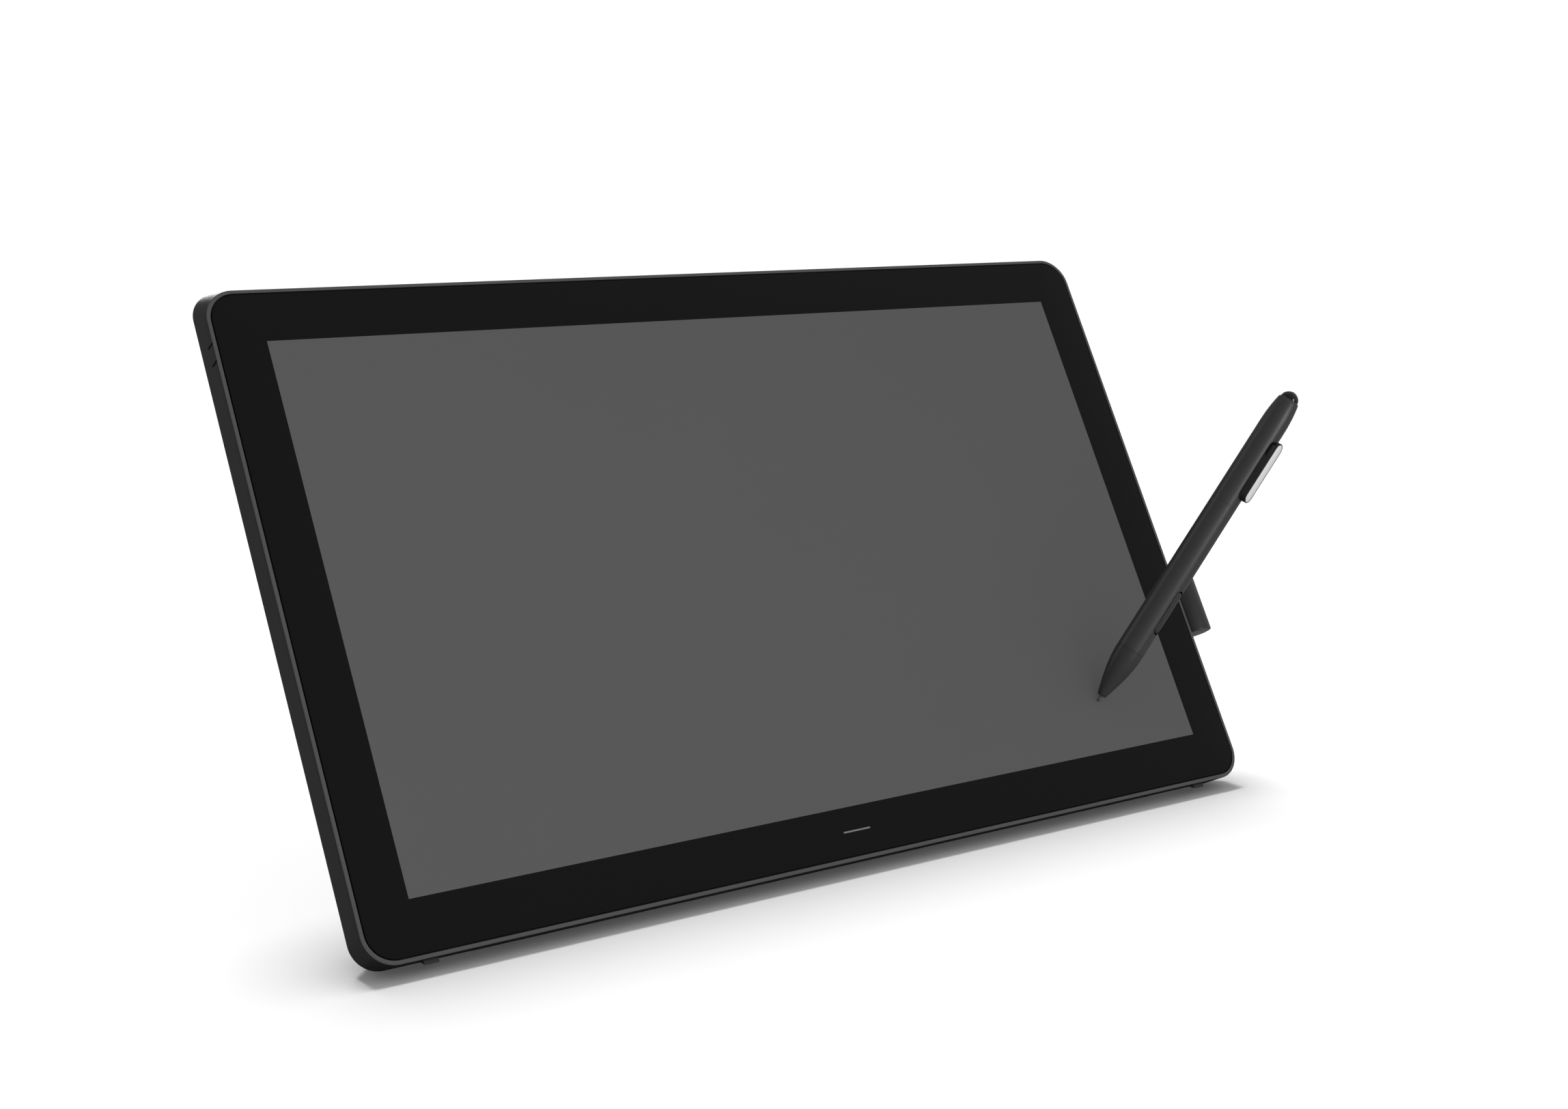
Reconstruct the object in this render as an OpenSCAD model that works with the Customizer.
// Pen drawing tablet: a large pen display standing on a fold-out leg, with its pen and pen holder.
// Row frame: origin on the desk, in the middle of the front rubber strip, +X to the user's right,
// +Y away from the user, +Z up. The display's own frame has its origin at the centre of the
// screen on the front of the glass, x right, y up the face and z out towards the user.

/* [Stance] */
// Angle between the screen and the desk
face_angle = 60; // [59.5:0.1:60.5]
// Height of the screen's centre above the desk
centre_up = 162.5; // [162.5:0.1:163]
// Distance from the front rubber strip back to the screen's centre
centre_back = 68; // [67:0.5:69]

/* [Screen and housing] */
// Width of the lit screen area
active_w = 527.04; // [520:0.01:530]
// Height of the lit screen area
active_h = 296.46; // [290:0.01:300]
// Width of the housing
body_w = 584.6; // [584:0.1:590]
// Height of the housing at its front rim
body_h = 356; // [355:0.5:358]
// Depth of the housing's side wall
wall_depth = 18; // [17:0.5:19]
// Depth of the whole housing, without the leg
body_depth = 45; // [44:0.5:46]
// Rise of the top wall from the rim to its rear edge
top_flare = 6.8; // [5:0.1:7]
// Rise of the bottom wall from the rim to its rear edge
bottom_rise = 1.3; // [1:0.1:2]
// Inset of the flat back from the side walls
back_inset = 30; // [28:1:32]
// Radius of the rim's corners
rim_corner_r = 17; // [16:0.5:18]
// Width of the visible metal-grey rim
rim_w = 2.2; // [2:0.1:2.6]
// Gap between the rim and the glass
glass_gap = 0.6; // [0.4:0.1:0.8]
// Thickness of the cover glass
glass_t = 1.8; // [1.6:0.1:2]

/* [Fold-out leg] */
// Height of the hinge above the screen's centre, along the back
pivot_y = 5; // [0:1:10]
// Distance from the hinge to the front of the glass
pivot_back = 54; // [54:0.5:55]
// Angle of the opened leg from the back
leg_open = 50; // [45:1:52]
// Distance of each leg arm from the middle
arm_x = 105; // [100:1:110]
// Width of a leg arm
arm_w = 22; // [18:1:24]
// Thickness of a leg arm
arm_t = 8; // [6:0.5:8]
// Radius of the hinge pins
pin_r = 3; // [2.5:0.5:3]

/* [Screw mount] */
// Spacing of the four threaded inserts
vesa_pitch = 100; // [75:25:100]
// Radius of the hole in each insert
vesa_r = 2; // [2:0.5:2.5]
// Length of each insert
vesa_len = 10; // [8:1:10]

/* [Pen] */
// Length of the pen
pen_l = 220; // [215:1:225]
// Largest radius of the grip
grip_r = 8.6; // [8.4:0.1:8.7]
// Radius of the barrel at its upper seam
barrel_r = 8.4; // [8.2:0.1:8.5]
// Radius of the nib
nib_r = 1; // [0.8:0.1:1]
// Where the nib touches the glass, right of the screen's centre
nib_x = 197.7; // [190:0.1:200]
// Where the nib touches the glass, up from the screen's centre
nib_y = -116.3; // [-120:0.1:-110]
// Direction the pen points over the glass
pen_heading = 50; // [45:1:55]
// Angle between the pen and the glass
pen_slope = 35; // [33:1:40]
// Turn of the pen about its own axis
pen_roll = 218; // [0:1:359]

/* [Pen holder] */
// Radius of the holder's tube
holder_r = 10; // [10:0.1:10.3]
// Radius of the holder's bore
holder_bore_r = 8.9; // [8.8:0.1:9]
// Length of the holder's tube
holder_l = 40; // [38:1:44]
// Height of the tube's closed end, from the screen's centre
holder_y = -84; // [-90:1:-80]

/* [Hidden] */
$fn = 64;
smooth_fn = 32;
eps = 0.02;
cut = 1;

half_w = body_w / 2;
half_h = body_h / 2;
front_z = -glass_t;
mask_t = 0.2;
tape_t = 0.2;
holder_x = half_w + 1.8 + holder_r;
holder_z = -9;
glass_w2 = half_w - rim_w - glass_gap;
glass_h2 = half_h - rim_w - glass_gap;
glass_corner_r = rim_corner_r - rim_w - glass_gap / 2;
ledge_z = -(glass_t + mask_t + tape_t);
ledge_t = 2;
ledge_w = 6;
rim_edge_t = 0.8;
rim_edge_in = 0.7;
wall_t = 2.6;
inner_corner_r = 13;
small_corner_r = 9;
frame_bottom_t = 4.5;
frame_top_t = 3;
lock_slot_y = [148.7, 138.9];
lock_slot_r = 0.65;
lock_slot_in = 0.8;
lock_slot_z = [-7.15, -0.5];
rear_corner_r = 15;
back_corner_r = 12;
rear_top = half_h + top_flare;
rear_bottom = -half_h + bottom_rise;
back_w2 = half_w - back_inset;
back_top = rear_top - back_inset;
back_bottom = -150;
skin_t = 2.5;
back_z = -body_depth;
skin_z = back_z + skin_t;

// depth places of the layers behind the glass, front face of each
panel_z = -2.6;
panel_t = 2.2;
guide_z = -5;
guide_t = 3;
sensor_z = -8.4;
sensor_t = 1;
shield_z = -9.8;
shield_t = 0.6;
chassis_z = -12;
chassis_t = 2;
board_z = -24;
board_t = 1.6;
mount_z = -32.5;
mount_t = 2.5;
stack_w2 = 268;
stack_h2 = 153.5;
led_count = 40;
led_pitch = 13;
panel_frame_t = 9;
chassis_w2 = 280;
chassis_h2 = 165;
mount_w2 = 135;
mount_y = [-66, 76];

// main board and the port bay in the rear cover
bay_x = [-190, -50];
bay_y = [-135, -95];
bay_z = -24;
bay_wall = 2;
board_x = [-185, -55];
board_y = [-92, -12];
board_back = board_z - board_t;
chip_w = 12;
chip_t = 1.4;
chip_at = [[-160, -40], [-130, -40], [-75, -30], [-75, -55]];
can_r = 2.5;
can_h = 4;
spreader_x = -115;
spreader_y = -54;
spreader_w = 28;
fin_t = 1.6;
fin_pitch = 4.4;
socket_l = 13;
socket_wall = 0.5;
video_x = -168;
display_x = -140;
usb_x = [-113, -94];
power_x = -70;
inlet_w = 10;

// vents along the top of the back, on both sides of the middle
vent_x = 28;
vent_y = 92;
vent_w = 3;
vent_l = 26;
vent_pitch = 8;
vent_count = 18;

// screws through the rear cover, and where the leg brackets are screwed on
cover_screw_at = [for (x = [-210, 0, 210]) for (y = [-125, 128]) [x, y]];
mount_post_r = 5;
mount_post_at = [[-125, 70], [125, 70], [-45, -58], [125, -58]];
bracket_screw_at = [for (s = [-1, 1]) for (x = [arm_x - 15, arm_x + 15])
    for (y = [pivot_y - 12, pivot_y + 12]) [s * x, y]];
holder_screw_up = [12, holder_l - 12];
holder_screw_r = 1;
ribbon_x = [-80, -60];
ribbon_y = -146;
ribbon_t = 0.3;
screw_r = 1.5;
screw_head_r = 3.6;
screw_head_t = 1.5;
boss_r = 4.2;
insert_r = 4;
bracket_x2 = 19;
bracket_y2 = 16;
bracket_t = 2;
ear_t = 3.7;
ear_r = 6;
ear_gap = 0.3;
pin_head_r = 4.6;
pin_head_t = 1.4;
knuckle_r = 5.5;
knuckle_gap = 0.05;
leg_pad_w = 60;
leg_pad_x = 82;
bar_near = 122;
bar_far = 138;
strip_l = 460;
strip_y2 = 4;
foot_x = 258;
foot_w = 8;
foot_z = [-9.6, -4.7];
foot_up = 4.08;

// keys on the back, near the user's right-hand edge
key_x = 236;
key_y0 = 60;
key_pitch = 17;
power_y = 132;
key_r = 4;
power_key_r = 5;
light_x = key_x - 14;
light_r = 1.15;
key_cap_out = 1.2;
key_gap = 0.3;
key_flange = 1.2;
key_stem_r = 1.2;
key_stem_z = -40.2;
switch_z = -39.2;
key_board_z = -36;

// stretches of the pen, from the nib's tip
cone_z = 0.018 * pen_l;
seam_z = 0.164 * pen_l;
ring_t = 0.8;
cap_z = 0.641 * pen_l;
taper_z = 0.88 * pen_l;
tail_z = 0.974 * pen_l;
cone_tip_r = 2.65;
tail_r = 6.5;
tail_button_r = 5.7;
pen_wall = 1.3;
switch_mid = 0.305 * pen_l;
switch_l = 0.13 * pen_l;
switch_w = 5.8;
switch_gap = 0.3;
switch_out = 0.4;
switch_t = 2.2;
clip_from = 0.67 * pen_l;
clip_to = 0.857 * pen_l;
clip_out = 12.3;
clip_w = 8.6;
cord_slot_r = 1.5;
cord_slot_l = 6;
cord_slot_end = 3.2;
cord_slot_x = barrel_r + 1;
badge_bed = 0.8;
badge_edge = 0.7;

module on_display() translate([0, centre_back, centre_up]) rotate([face_angle, 0, 0]) children();

module on_leg() on_display() translate([0, pivot_y, -pivot_back]) rotate([leg_open, 0, 0]) children();

module on_pen()
    on_display() translate([nib_x, nib_y, nib_r + 0.03]) rotate([0, 0, pen_heading])
        rotate([0, 90 - pen_slope, 0]) rotate([0, 0, pen_roll]) translate([0, 0, -nib_r]) children();

// rounded rectangle between x = -w2 and w2 and y = y0 and y1
module outline(w2, y0, y1, r) {
    translate([-w2 + r, y0]) square([2 * (w2 - r), y1 - y0]);
    translate([-w2, y0 + r]) square([2 * w2, y1 - y0 - 2 * r]);
    for (x = [-w2 + r, w2 - r]) for (y = [y0 + r, y1 - r]) translate([x, y]) circle(r);
}

// plate with rounded corners, its front face at z and its back at z - t
module plate(w2, y0, y1, r, z, t) translate([0, 0, z - t]) linear_extrude(t) outline(w2, y0, y1, r);

// thin plate that a hull starts or ends on
module hull_plate(w2, y0, y1, r, z)
    translate([0, 0, z]) linear_extrude(0.01) outline(w2, y0, y1, r, $fn = smooth_fn);

module box(x0, x1, y0, y1, z0, z1) translate([x0, y0, z0]) cube([x1 - x0, y1 - y0, z1 - z0]);

// ---- front of the display ----

module front_frame() color([0.24, 0.24, 0.25]) on_display() difference() {
    hull() {
        hull_plate(half_w - rim_edge_in, -half_h + rim_edge_in, half_h - rim_edge_in,
            rim_corner_r - rim_edge_in, -0.01);
        hull_plate(half_w, -half_h, half_h, rim_corner_r, -rim_edge_t);
        hull_plate(half_w, rear_bottom, rear_top, rear_corner_r, -wall_depth);
    }
    plate(glass_w2 + glass_gap, -glass_h2 - glass_gap, glass_h2 + glass_gap,
        glass_corner_r + glass_gap, cut, cut - ledge_z);
    plate(glass_w2 - ledge_w, -glass_h2 + ledge_w, glass_h2 - ledge_w, small_corner_r, 0, wall_depth + cut);
    plate(half_w - wall_t, -half_h + frame_bottom_t, half_h - frame_top_t, inner_corner_r,
        ledge_z - ledge_t, wall_depth + cut);
    for (y = lock_slot_y) {
        box(-half_w - cut, -half_w + lock_slot_in, y - lock_slot_r, y + lock_slot_r,
            lock_slot_z[0], lock_slot_z[1]);
        translate([-half_w - cut, y, lock_slot_z[0]]) rotate([0, 90, 0])
            cylinder(r = lock_slot_r, h = cut + lock_slot_in);
    }
    for (y = holder_screw_up) translate([half_w - 3 * wall_t, holder_y + y, holder_z]) rotate([0, 90, 0])
        cylinder(r = holder_screw_r + eps, h = 4 * wall_t, $fn = smooth_fn);
}

module cover_glass() color([0.1, 0.1, 0.11, 0.4]) on_display()
    plate(glass_w2, -glass_h2, glass_h2, glass_corner_r, 0, glass_t);

module border_mask() color([0.1, 0.1, 0.1]) on_display() difference() {
    plate(glass_w2 - 0.4, -glass_h2 + 0.4, glass_h2 - 0.4, glass_corner_r - 0.4, front_z, mask_t);
    box(-active_w / 2, active_w / 2, -active_h / 2, active_h / 2, front_z - cut, cut);
}

module glass_tape() color([0.05, 0.05, 0.05]) on_display() difference() {
    plate(glass_w2 - 0.8, -glass_h2 + 0.8, glass_h2 - 0.8, glass_corner_r - 0.8, front_z - mask_t, tape_t);
    inset = ledge_w - 0.5;
    plate(glass_w2 - inset, -glass_h2 + inset, glass_h2 - inset, small_corner_r, 0, 5);
}

module lcd_panel() color([0.33, 0.33, 0.33]) on_display()
    plate(stack_w2, -stack_h2, stack_h2, 1, panel_z, panel_t);

module light_guide() color([0.92, 0.93, 0.95]) on_display()
    plate(stack_w2, -stack_h2, stack_h2, 1, guide_z, guide_t);

module led_bar() color([0.9, 0.85, 0.6]) on_display() {
    box(-stack_w2, stack_w2, -156, -155, guide_z - guide_t, guide_z);
    for (i = [0 : led_count - 1]) translate([led_pitch * (i - (led_count - 1) / 2) - 2, -155, guide_z - 2.6])
        cube([4, 1, 2.2]);
}

module panel_frame() color([0.12, 0.12, 0.13]) on_display() difference() {
    plate(stack_w2 + 5, -stack_h2 - 7, stack_h2 + 5, 3, panel_z, panel_frame_t);
    plate(stack_w2 + 0.5, -stack_h2 - 2.6, stack_h2 + 0.5, 1.2, 0, 2 * panel_frame_t);
}

module sensor_board() color([0.05, 0.3, 0.16]) on_display()
    plate(stack_w2, -stack_h2, stack_h2, 2, sensor_z, sensor_t);

module shield_plate() color([0.7, 0.71, 0.72]) on_display()
    plate(stack_w2, -stack_h2, stack_h2, 2, shield_z, shield_t);

// ---- inside the housing ----

module chassis() color([0.55, 0.56, 0.58]) on_display() difference() {
    union() {
        plate(chassis_w2, -chassis_h2, chassis_h2, 6, chassis_z, chassis_t);
        for (p = cover_screw_at) translate([p[0], p[1], skin_z + eps])
            cylinder(r = boss_r, h = chassis_z - skin_z - cut);
        for (p = mount_post_at) translate([p[0], p[1], mount_z + eps])
            cylinder(r = mount_post_r, h = chassis_z - mount_z - cut);
        for (x = [board_x[0] + 6, board_x[1] - 6]) for (y = [board_y[0] + 6, board_y[1] - 6])
            translate([x, y, board_z + eps]) cylinder(r = 3, h = chassis_z - board_z - cut);
    }
    for (p = cover_screw_at) translate([p[0], p[1], skin_z - cut]) cylinder(r = screw_r + eps, h = 16);
    box(ribbon_x[0] - 3, ribbon_x[1] + 3, ribbon_y - 4, ribbon_y + 6, -30, 0);
}

module mount_plate() color([0.62, 0.63, 0.65]) on_display() difference() {
    plate(mount_w2, mount_y[0], mount_y[1], 8, mount_z, mount_t);
    for (p = bracket_screw_at) translate([p[0], p[1], mount_z - mount_t - cut])
        cylinder(r = screw_r + eps, h = 5);
}

module main_board() color([0.04, 0.28, 0.15]) on_display()
    box(board_x[0], board_x[1], board_y[0], board_y[1], board_back, board_z);

module board_chips() color([0.08, 0.08, 0.09]) on_display() {
    for (p = chip_at) translate([p[0] - chip_w / 2, p[1] - chip_w / 2, board_back - chip_t])
        cube([chip_w, chip_w, chip_t]);
    for (i = [0 : 5]) translate([video_x + 14 * i, -70, board_back - can_h]) cylinder(r = can_r, h = can_h);
}

module heat_spreader() color([0.72, 0.73, 0.75]) on_display() {
    translate([spreader_x, spreader_y, board_back - 2]) cube([spreader_w, spreader_w, 2]);
    for (i = [0 : 6]) translate([spreader_x + fin_pitch * i, spreader_y, board_back - 6])
        cube([fin_t, spreader_w, 4]);
}

module panel_ribbon() color([0.75, 0.55, 0.2]) on_display() {
    over_bay = bay_z + 4;
    box(ribbon_x[0], ribbon_x[1], ribbon_y, ribbon_y + ribbon_t, over_bay - ribbon_t, -11);
    box(ribbon_x[0], ribbon_x[1], ribbon_y + ribbon_t, board_y[0] + 2, over_bay - ribbon_t, over_bay);
    box(ribbon_x[0], ribbon_x[1], board_y[0] + 2 - ribbon_t, board_y[0] + 2, board_z, over_bay - ribbon_t);
}

module key_board() color([0.04, 0.28, 0.15]) on_display()
    box(key_x - 9, key_x + 9, key_y0 - 10, power_y + 10, key_board_z - board_t, key_board_z);

module key_switches() color([0.1, 0.1, 0.1]) on_display()
    for (y = concat([for (i = [0 : 3]) key_y0 + key_pitch * i], [power_y]))
        box(key_x - 3, key_x + 3, y - 3, y + 3, switch_z, key_board_z - board_t);

// socket with a tongue inside, its mouth at the lower end of the board
module socket(x, w, h, tongue_h) {
    z0 = board_back - h;
    depth = socket_l - 2;
    difference() {
        box(x - w / 2, x + w / 2, bay_y[1], bay_y[1] + socket_l, z0, z0 + h);
        box(x - w / 2 + socket_wall, x + w / 2 - socket_wall, bay_y[1] - cut, bay_y[1] + depth,
            z0 + socket_wall, z0 + h - socket_wall);
    }
    box(x - w / 2 + 2, x + w / 2 - 2, bay_y[1] + 2, bay_y[1] + depth, z0 + h / 2 - tongue_h / 2,
        z0 + h / 2 + tongue_h / 2);
}

module video_port() color([0.7, 0.7, 0.72]) on_display() socket(video_x, 15, 5.6, 1.6);
module display_port() color([0.7, 0.7, 0.72]) on_display() socket(display_x, 17, 5.8, 1.6);
module usb_ports() color([0.7, 0.7, 0.72]) on_display() for (x = usb_x) socket(x, 13.4, 5.8, 1.8);

// round socket in a square body, with a centre pin
module power_inlet() color([0.08, 0.08, 0.08]) on_display() {
    middle = board_back - inlet_w / 2 - 0.2;
    translate([power_x, bay_y[1], middle]) {
        difference() {
            translate([-inlet_w / 2, 0, -inlet_w / 2 + 0.2]) cube([inlet_w, socket_l, inlet_w]);
            translate([0, 10, 0]) rotate([90, 0, 0]) cylinder(r = 3, h = 11);
        }
        translate([0, 10.5, 0]) rotate([90, 0, 0]) cylinder(r = 1, h = 9);
    }
}

// ---- back of the display ----

module rear_shell() {
    difference() {
        hull() {
            hull_plate(half_w, rear_bottom, rear_top, rear_corner_r, -wall_depth - 0.01);
            hull_plate(back_w2 + 0.9, back_bottom - 0.9, back_top + 0.9, back_corner_r + 0.9, back_z + 1);
            hull_plate(back_w2, back_bottom, back_top, back_corner_r, back_z);
        }
        hull() {
            hull_plate(half_w - wall_t, rear_bottom + wall_t, rear_top - wall_t, inner_corner_r,
                -wall_depth + 0.5);
            hull_plate(back_w2 - 1, back_bottom + 1, back_top - 1, back_corner_r - 1, skin_z - 0.01);
        }
    }
    box(bay_x[0] - bay_wall, bay_x[1] + bay_wall, bay_y[0] - bay_wall, bay_y[1] + bay_wall, skin_z - cut,
        bay_z + bay_wall);
}

module rear_cover() color([0.16, 0.16, 0.17]) on_display() difference() {
    rear_shell();
    box(bay_x[0], bay_x[1], bay_y[0], bay_y[1], back_z - cut, bay_z);
    for (x = concat([video_x, display_x], usb_x))
        box(x - 9, x + 9, bay_y[1] - cut, bay_y[1] + bay_wall + cut, board_back - 6.4, board_back + 0.2);
    box(power_x - inlet_w / 2 - 0.5, power_x + inlet_w / 2 + 0.5, bay_y[1] - cut, bay_y[1] + bay_wall + cut,
        board_back - inlet_w - 0.4, board_back + 0.2);
    for (p = cover_screw_at) translate([p[0], p[1], back_z - cut]) {
        cylinder(r = screw_r + 0.3, h = skin_t + 2 * cut);
        cylinder(r = screw_head_r + 0.3, h = screw_head_t + cut);
    }
    for (sx = [-1, 1]) for (sy = [-1, 1])
        translate([sx * vesa_pitch / 2, pivot_y + sy * vesa_pitch / 2, back_z - cut])
            cylinder(r = insert_r + 0.1, h = skin_t + 2 * cut);
    for (p = bracket_screw_at) translate([p[0], p[1], back_z - cut])
        cylinder(r = screw_r + 0.3, h = skin_t + 2 * cut);
    for (i = [0 : 3]) translate([key_x, key_y0 + key_pitch * i, back_z - cut])
        cylinder(r = key_r + key_gap, h = skin_t + 2 * cut);
    translate([key_x, power_y, back_z - cut]) cylinder(r = power_key_r + key_gap, h = skin_t + 2 * cut);
    translate([light_x, power_y, back_z - cut]) cylinder(r = light_r + 0.05, h = skin_t + 2 * cut);
    for (s = [-1, 1]) for (i = [0 : vent_count - 1])
        translate([s * (vent_x + vent_pitch * i) - vent_w / 2, vent_y, back_z - cut])
            cube([vent_w, vent_l, skin_t + 2 * cut]);
}

module vesa_inserts() color([0.72, 0.6, 0.3]) on_display()
    for (sx = [-1, 1]) for (sy = [-1, 1])
        translate([sx * vesa_pitch / 2, pivot_y + sy * vesa_pitch / 2, back_z]) difference() {
            cylinder(r = insert_r, h = vesa_len);
            translate([0, 0, -cut]) cylinder(r = vesa_r, h = vesa_len + 2 * cut);
        }

// screw with its head towards the back, the underside of the head at z
module screw(x, y, z, head_r, head_t, l) translate([x, y, z]) {
    difference() {
        translate([0, 0, -head_t]) cylinder(r = head_r, h = head_t);
        translate([0, 0, -head_t - cut]) cylinder(r = head_r * 0.45, h = cut + head_t * 0.6, $fn = 6);
    }
    cylinder(r = screw_r, h = l);
}

module cover_screws() color([0.12, 0.12, 0.12]) on_display()
    for (p = cover_screw_at) screw(p[0], p[1], back_z + screw_head_t, screw_head_r, screw_head_t - 0.1, 10);

module bracket_screws() color([0.3, 0.3, 0.31]) on_display()
    for (p = bracket_screw_at) screw(p[0], p[1], back_z - bracket_t, 2.8, 1.5, 12.5);

module stand_brackets() color([0.2, 0.2, 0.21]) on_display() for (s = [-1, 1]) difference() {
    union() {
        box(s * arm_x - bracket_x2, s * arm_x + bracket_x2, pivot_y - bracket_y2, pivot_y + bracket_y2,
            back_z - bracket_t, back_z - eps);
        for (e = [-1, 1]) {
            x = s * arm_x + e * (arm_w / 2 + ear_gap + ear_t / 2);
            box(x - ear_t / 2, x + ear_t / 2, pivot_y - ear_r, pivot_y + ear_r, -pivot_back,
                back_z - bracket_t);
            translate([x - ear_t / 2, pivot_y, -pivot_back]) rotate([0, 90, 0])
                cylinder(r = ear_r, h = ear_t);
        }
    }
    translate([s * arm_x - 25, pivot_y, -pivot_back]) rotate([0, 90, 0]) cylinder(r = pin_r + eps, h = 50);
    for (x = [-15, 15]) for (y = [-12, 12])
        translate([s * arm_x + x, pivot_y + y, back_z - 5]) cylinder(r = screw_r + 0.2, h = 8);
}

// pins with their heads on the outer ears
module hinge_pins() color([0.75, 0.76, 0.78]) on_display() for (s = [-1, 1]) {
    reach = arm_w / 2 + ear_gap + ear_t;
    translate([s * arm_x, pivot_y, -pivot_back]) rotate([0, 90 * s, 0]) {
        translate([0, 0, -reach - 1]) cylinder(r = pin_r, h = 2 * reach + 1.5);
        translate([0, 0, reach + 0.1]) cylinder(r = pin_head_r, h = pin_head_t);
    }
}

// height of the rear cover's lower slope over the desk, at a distance y behind the origin
function slope_up(y) = let (c = cos(face_angle), s = sin(face_angle),
    y0 = centre_back + c * rear_bottom + s * wall_depth, z0 = centre_up + s * rear_bottom - c * wall_depth,
    y1 = centre_back + c * back_bottom + s * body_depth, z1 = centre_up + s * back_bottom - c * body_depth)
    z0 + (y - y0) * (z1 - z0) / (y1 - y0);

module bottom_strip() color([0.07, 0.07, 0.07]) rotate([90, 0, 90]) translate([0, 0, -strip_l / 2])
    linear_extrude(strip_l) polygon([[-strip_y2, 0], [strip_y2, 0], [strip_y2, slope_up(strip_y2) - eps],
        [-strip_y2, slope_up(-strip_y2) - eps]]);

// where the outside of the bottom wall is, at a depth z behind the front
function bottom_wall(z) = -half_h - bottom_rise * (z + rim_edge_t) / (wall_depth - rim_edge_t);

// wedges under the bottom wall, their lower faces level with the desk
module front_feet() color([0.17, 0.17, 0.18]) on_display() {
    low = (foot_up - centre_up - cos(face_angle) * foot_z[1]) / sin(face_angle);
    for (s = [-1, 1]) translate([s * foot_x - foot_w / 2, 0, 0]) rotate([90, 0, 90])
        linear_extrude(foot_w) polygon([[bottom_wall(foot_z[1]) - eps, foot_z[1]], [low, foot_z[1]],
            [bottom_wall(foot_z[0]) - 2 * eps, foot_z[0]]]);
}

module power_light() color([0.85, 0.9, 0.95]) on_display()
    translate([light_x, power_y, back_z - 0.2]) cylinder(r = light_r, h = 7);

// key with a flange that stops it inside the cover and a stem that reaches its switch
module stemmed_key(y, r) on_display() translate([key_x, y, 0]) {
    translate([0, 0, back_z - key_cap_out]) cylinder(r = r, h = key_cap_out + skin_t + 0.8);
    translate([0, 0, skin_z + 0.2]) cylinder(r = r + key_flange, h = 1);
    translate([0, 0, skin_z + 1]) cylinder(r = key_stem_r, h = key_stem_z - skin_z - 1);
}

module power_button() color([0.3, 0.3, 0.31]) stemmed_key(power_y, power_key_r);
module menu_key() color([0.12, 0.12, 0.12]) stemmed_key(key_y0 + 3 * key_pitch, key_r);
module up_key() color([0.12, 0.12, 0.12]) stemmed_key(key_y0 + 2 * key_pitch, key_r);
module down_key() color([0.12, 0.12, 0.12]) stemmed_key(key_y0 + key_pitch, key_r);
module select_key() color([0.12, 0.12, 0.12]) stemmed_key(key_y0, key_r);

// ---- pen holder ----

module pen_holder() color([0.15, 0.15, 0.16]) on_display() difference() {
    union() {
        translate([holder_x, holder_y, holder_z]) rotate([-90, 0, 0]) cylinder(r = holder_r, h = holder_l);
        box(half_w + eps, holder_x - holder_r + 3, holder_y + 8, holder_y + holder_l - 8, holder_z - 5,
            holder_z + 5);
    }
    translate([holder_x, holder_y + 4, holder_z]) rotate([-90, 0, 0])
        cylinder(r = holder_bore_r, h = holder_l);
    for (y = holder_screw_up) translate([half_w, holder_y + y, holder_z]) rotate([0, 90, 0])
        cylinder(r = holder_screw_r + eps, h = 2.64);
}

module holder_screws() color([0.3, 0.3, 0.31]) on_display() for (y = holder_screw_up)
    translate([half_w - 5, holder_y + y, holder_z]) rotate([0, 90, 0]) {
        cylinder(r = holder_screw_r, h = 7.6);
        translate([0, 0, 0.9]) cylinder(r = 2 * holder_screw_r, h = 1.4);
    }

// ---- fold-out leg ----

module stand_arm(s) on_leg() difference() {
    union() {
        translate([s * arm_x - arm_w / 2, 0, 0]) rotate([0, 90, 0]) cylinder(r = knuckle_r, h = arm_w);
        box(s * arm_x - arm_w / 2, s * arm_x + arm_w / 2, -bar_near, 0, -arm_t / 2, arm_t / 2);
    }
    translate([s * arm_x - arm_w, 0, 0]) rotate([0, 90, 0]) cylinder(r = pin_r + knuckle_gap, h = 2 * arm_w);
}

module left_stand_arm() color([0.18, 0.18, 0.19]) stand_arm(-1);
module right_stand_arm() color([0.18, 0.18, 0.19]) stand_arm(1);

module stand_crossbar() color([0.18, 0.18, 0.19]) on_leg()
    box(-arm_x - arm_w / 2, arm_x + arm_w / 2, -bar_far, -bar_near, -arm_t / 2, arm_t / 2);

// pads under the leg, cut off level with the desk
module stand_pads() color([0.07, 0.07, 0.07]) for (s = [-1, 1]) intersection() {
    on_leg() box(s * leg_pad_x - leg_pad_w / 2, s * leg_pad_x + leg_pad_w / 2, -bar_far - 25, -bar_far,
        -5, 5);
    translate([-200, 0, 0]) cube([400, 400, 60]);
}

// ---- pen ----

// radius of the ogive cone at a height above the nib's tip
function cone_r(z) = let (t = (z - cone_z) / (seam_z - cone_z))
    cone_tip_r + (grip_r - cone_tip_r) * sin(90 * t);

function barrel_at(z) = grip_r + (barrel_r - grip_r) * (z - seam_z) / (cap_z - seam_z);

function cap_at(z) = z < taper_z ? barrel_r + 0.1 * (cap_z - z) / (taper_z - cap_z)
    : barrel_r - 0.1 - (barrel_r - 0.1 - tail_r) * pow((z - taper_z) / (tail_z - taper_z), 2.4);

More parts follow.
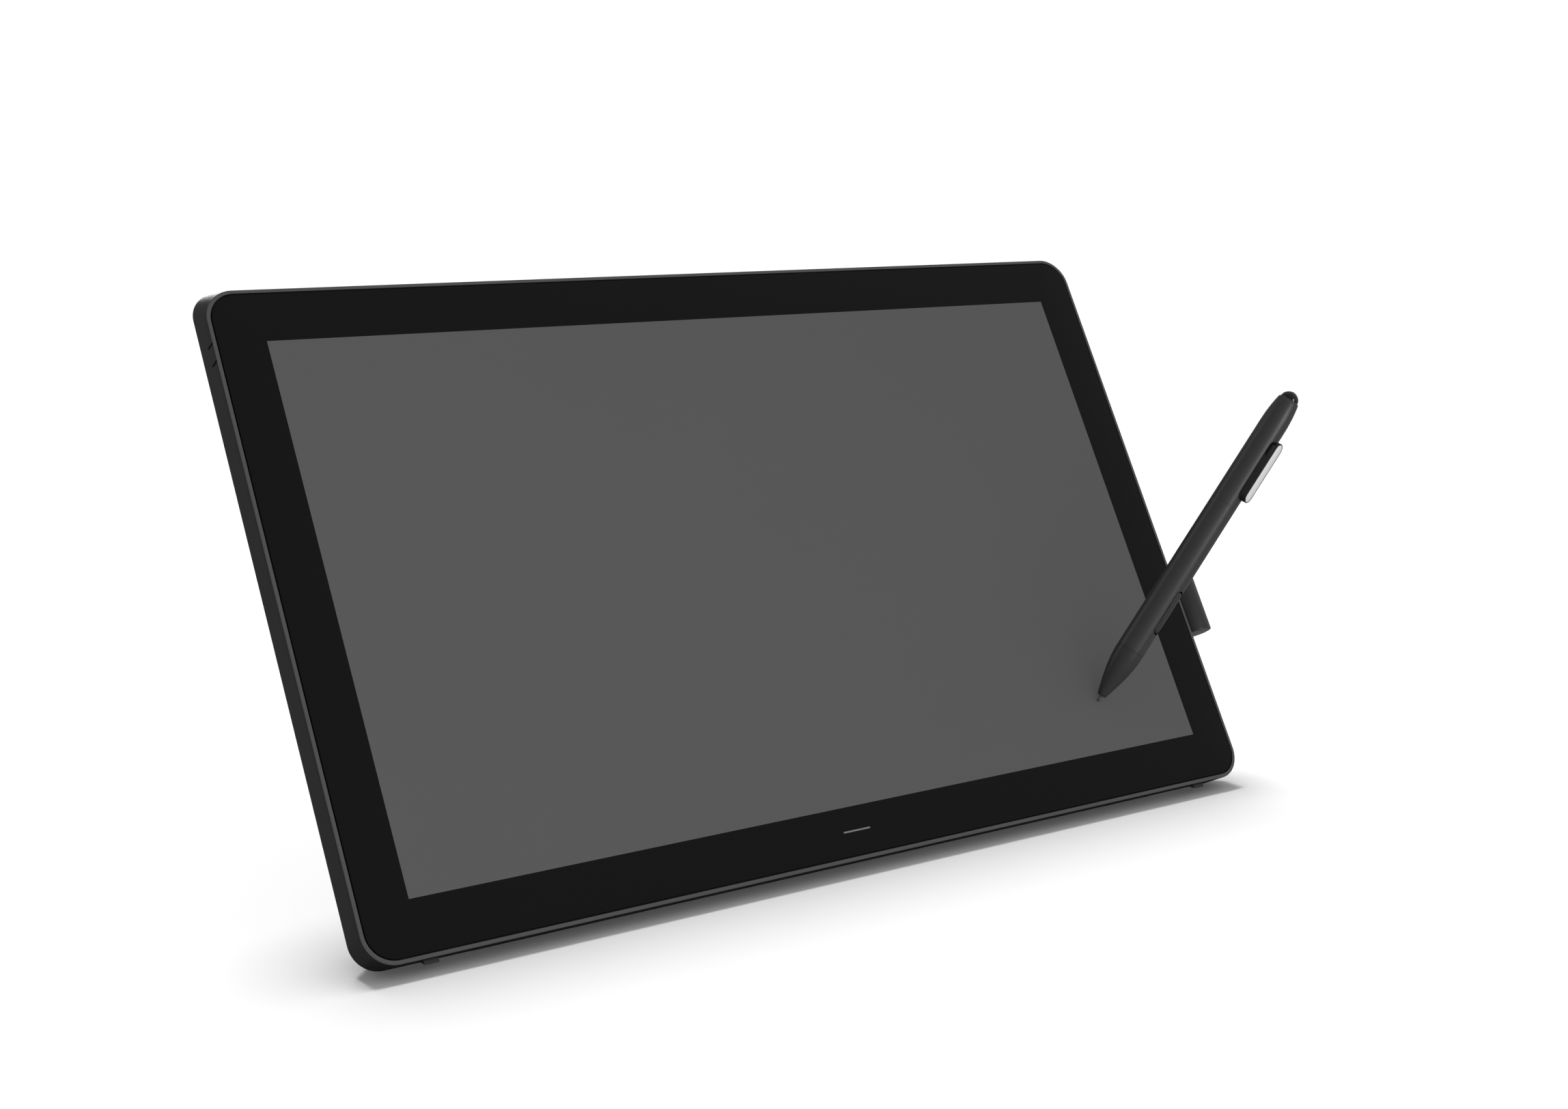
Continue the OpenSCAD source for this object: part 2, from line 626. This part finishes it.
module pen_cone() color([0.15, 0.15, 0.16]) on_pen() rotate_extrude() {
    steps = 10;
    outer = [for (i = [0 : steps]) let (z = cone_z + (seam_z - cone_z) * i / steps) [cone_r(z), z]];
    polygon(concat([[nib_r + 0.1, cone_z]], outer, [[grip_r - pen_wall, seam_z],
        [grip_r - pen_wall - 0.5, seam_z - 8], [3, cone_z + 8], [nib_r + 0.1, cone_z + 8]]));
}

module grip_ring() color([0.3, 0.3, 0.31]) on_pen() translate([0, 0, seam_z + 0.01]) difference() {
    cylinder(r = grip_r - 0.2, h = ring_t);
    translate([0, 0, -cut]) cylinder(r = grip_r - pen_wall, h = ring_t + 2 * cut);
}

module pen_barrel() color([0.16, 0.16, 0.17]) on_pen() {
    z0 = seam_z + ring_t + 0.02;
    difference() {
        rotate_extrude() polygon([[grip_r - pen_wall - 0.2, z0], [grip_r, z0], [barrel_r, cap_z],
            [barrel_r - pen_wall, cap_z]]);
        translate([0, -switch_w / 2 - switch_gap, switch_mid - switch_l / 2 + switch_w / 2])
            cube([20, switch_w + 2 * switch_gap, switch_l - switch_w]);
        for (e = [-1, 1]) translate([0, 0, switch_mid + e * (switch_l / 2 - switch_w / 2)])
            rotate([0, 90, 0]) cylinder(r = switch_w / 2 + switch_gap, h = 20);
    }
}

module pen_cap() color([0.16, 0.16, 0.17]) on_pen() difference() {
    union() {
        rotate_extrude() {
            steps = 8;
            outer = [for (i = [0 : steps]) let (z = taper_z + (tail_z - taper_z) * i / steps) [cap_at(z), z]];
            polygon(concat([[0, cap_z + 0.02], [barrel_r, cap_z + 0.02]], outer, [[0, tail_z]]));
        }
        translate([0, -clip_w / 2, clip_from + clip_w / 2])
            cube([clip_out, clip_w, clip_to - clip_from - clip_w]);
        for (z = [clip_from + clip_w / 2, clip_to - clip_w / 2]) translate([0, 0, z]) rotate([0, 90, 0])
            cylinder(r = clip_w / 2, h = clip_out);
    }
    translate([0, 0, cap_z - cut]) cylinder(r = barrel_r - pen_wall - 0.4, h = taper_z - cap_z + cut);
    translate([0, 0, taper_z + 6]) cylinder(r = tail_button_r + 0.15, h = 60);
    translate([0, 0, taper_z - cut]) cylinder(r = 3, h = 10);
    // slot for a cord, and the bed of the badge
    for (z = [clip_to - cord_slot_end, clip_to - cord_slot_end - cord_slot_l])
        translate([cord_slot_x, -20, z]) rotate([-90, 0, 0]) cylinder(r = cord_slot_r, h = 40);
    translate([cord_slot_x - cord_slot_r, -20, clip_to - cord_slot_end - cord_slot_l])
        cube([2 * cord_slot_r, 40, cord_slot_l]);
    badge_shape(badge_edge, badge_bed);
}

// pill-shaped plate on the clip's outer face, this much smaller than the clip and this deep
module badge_shape(inset, t) {
    r = clip_w / 2 - inset;
    translate([clip_out - t, -r, clip_from + clip_w / 2])
        cube([t + cut, 2 * r, clip_to - clip_from - clip_w]);
    for (z = [clip_from + clip_w / 2, clip_to - clip_w / 2]) translate([clip_out - t, 0, z])
        rotate([0, 90, 0]) cylinder(r = r, h = t + cut);
}

module clip_badge() color([0.8, 0.8, 0.81]) on_pen() intersection() {
    badge_shape(badge_edge + eps, badge_bed - eps);
    translate([0, -20, 0]) cube([clip_out - 0.1, 40, pen_l]);
}

module pen_coil() color([0.7, 0.4, 0.2]) on_pen() translate([0, 0, cone_z + 10]) difference() {
    union() {
        cylinder(r = 2.6, h = 26);
        translate([0, 0, 3]) cylinder(r = 3.2, h = 14);
    }
    translate([0, 0, -cut]) cylinder(r = nib_r + 0.3, h = 30);
}

module pressure_sensor() color([0.2, 0.2, 0.22]) on_pen() translate([0, 0, cone_z + 36.5])
    cylinder(r = 4.5, h = 7);

module pen_board() color([0.04, 0.28, 0.15]) on_pen()
    box(-2, -0.8, -4.5, 4.5, cone_z + 44, cap_z + 20);

module nib() color([0.2, 0.2, 0.2]) on_pen() {
    translate([0, 0, nib_r]) sphere(r = nib_r);
    translate([0, 0, nib_r]) cylinder(r = nib_r, h = cone_z + 34.5);
}

module side_switch() color([0.14, 0.14, 0.15]) on_pen() intersection() {
    switch_r = barrel_at(switch_mid) + switch_out;
    union() {
        translate([0, -switch_w / 2, switch_mid - switch_l / 2 + switch_w / 2])
            cube([20, switch_w, switch_l - switch_w]);
        for (e = [-1, 1]) translate([0, 0, switch_mid + e * (switch_l / 2 - switch_w / 2)])
            rotate([0, 90, 0]) cylinder(r = switch_w / 2, h = 20);
    }
    difference() {
        translate([0, 0, switch_mid - switch_l]) cylinder(r = switch_r, h = 2 * switch_l);
        translate([0, 0, switch_mid - switch_l - cut])
            cylinder(r = switch_r - switch_t, h = 2 * switch_l + 2 * cut);
    }
}

module tail_button() color([0.05, 0.05, 0.05]) on_pen() {
    translate([0, 0, tail_z - 4]) cylinder(r = tail_button_r, h = 4.2);
    translate([0, 0, tail_z + 0.2]) rotate_extrude()
        polygon(concat([[0, -0.5]], [for (a = [0 : 10 : 90])
            [tail_button_r * cos(a), (pen_l - tail_z - 0.2) * sin(a)]]));
}

front_frame();
cover_glass();
border_mask();
glass_tape();
lcd_panel();
light_guide();
led_bar();
panel_frame();
sensor_board();
shield_plate();
chassis();
mount_plate();
main_board();
board_chips();
heat_spreader();
panel_ribbon();
key_board();
key_switches();
video_port();
display_port();
usb_ports();
power_inlet();
rear_cover();
vesa_inserts();
cover_screws();
bracket_screws();
stand_brackets();
hinge_pins();
bottom_strip();
front_feet();
power_light();
pen_holder();
holder_screws();
left_stand_arm();
right_stand_arm();
stand_crossbar();
stand_pads();
power_button();
menu_key();
up_key();
down_key();
select_key();
pen_cone();
grip_ring();
pen_barrel();
pen_cap();
clip_badge();
pen_coil();
pressure_sensor();
pen_board();
nib();
side_switch();
tail_button();
